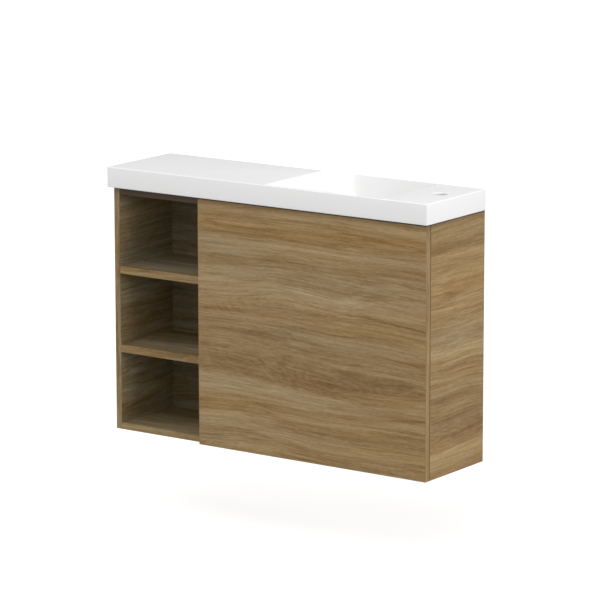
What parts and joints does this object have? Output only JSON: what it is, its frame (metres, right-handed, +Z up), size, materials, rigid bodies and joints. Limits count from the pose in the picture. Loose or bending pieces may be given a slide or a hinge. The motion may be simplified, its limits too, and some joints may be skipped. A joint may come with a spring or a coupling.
{
  "type": "wall-hung vanity unit",
  "caption": "Wall-hung vanity unit with a white cast basin, open shelves on the left and a wide wood-grain door without a handle.",
  "frame": {"origin": "middle of the hanging rail's back face, on the wall plane and in the middle of the basin's length", "axes": "+Y into the wall, +Z up, +X to the viewer's right along the wall; the front faces -Y"},
  "size_m": [0.92, 0.25, 0.65],
  "materials": {
    "cast_basin": "satin",
    "oak_laminate": "satin",
    "edge_band": "satin",
    "seal_foam": "matte",
    "hinge_steel": "satin",
    "hinge_pin_steel": "satin",
    "screw_steel": "satin",
    "cam_zinc": "matte",
    "latch_plastic": "matte",
    "plunger_plastic": "matte",
    "dowel_wood": "matte"
  },
  "bodies": {
    "cabinet": {"basin": "cast_basin", "basin_seal": "seal_foam", "side_left": "oak_laminate", "side_right": "oak_laminate", "divider": "oak_laminate", "top_board": "oak_laminate", "bottom_board": "oak_laminate", "shelf_upper": "oak_laminate", "shelf_lower": "oak_laminate", "back_panel": "oak_laminate", "hanging_rail": "oak_laminate", "lower_rail": "oak_laminate", "front_rail": "oak_laminate", "carcass_edging": "edge_band", "hinge_arms": "hinge_steel", "hinge_arm_pins": "hinge_pin_steel", "hinge_plates": "hinge_steel", "hinge_screws": "screw_steel", "push_latch_body": "latch_plastic", "latch_screws": "screw_steel", "cam_housings": "cam_zinc", "cam_bolts": "screw_steel", "dowels": "dowel_wood"},
    "hinge_link_pair": {"hinge_links": "hinge_steel"},
    "door_leaf": {"door": "oak_laminate", "door_edging": "edge_band", "hinge_cups": "hinge_steel", "hinge_cup_pins": "hinge_pin_steel", "cup_screws": "screw_steel", "strike_plate": "screw_steel", "strike_screws": "screw_steel"},
    "latch_plunger": {"push_latch_plunger": "plunger_plastic"}
  },
  "joints": [
    {"name": "link_swing", "type": "hinge", "parent": "cabinet", "child": "hinge_link_pair", "pos_m": [0.424, -0.23, 0], "axis": [0, 0, 1], "range_deg": [-40, 0]},
    {"name": "door_swing", "type": "hinge", "parent": "hinge_link_pair", "child": "door_leaf", "pos_m": [0.446, -0.2315, 0], "axis": [0, 0, 1], "range_deg": [0, 140]},
    {"name": "plunger_travel", "type": "slide", "parent": "cabinet", "child": "latch_plunger", "axis": [0, -1, 0], "range_m": [0, 0.014]}
  ],
  "couplings": [
    {"joint": "link_swing", "follows": "door_swing", "ratio": -0.28571},
    {"joint": "plunger_travel", "follows": "door_swing", "m_per_rad": 0.0057}
  ]
}
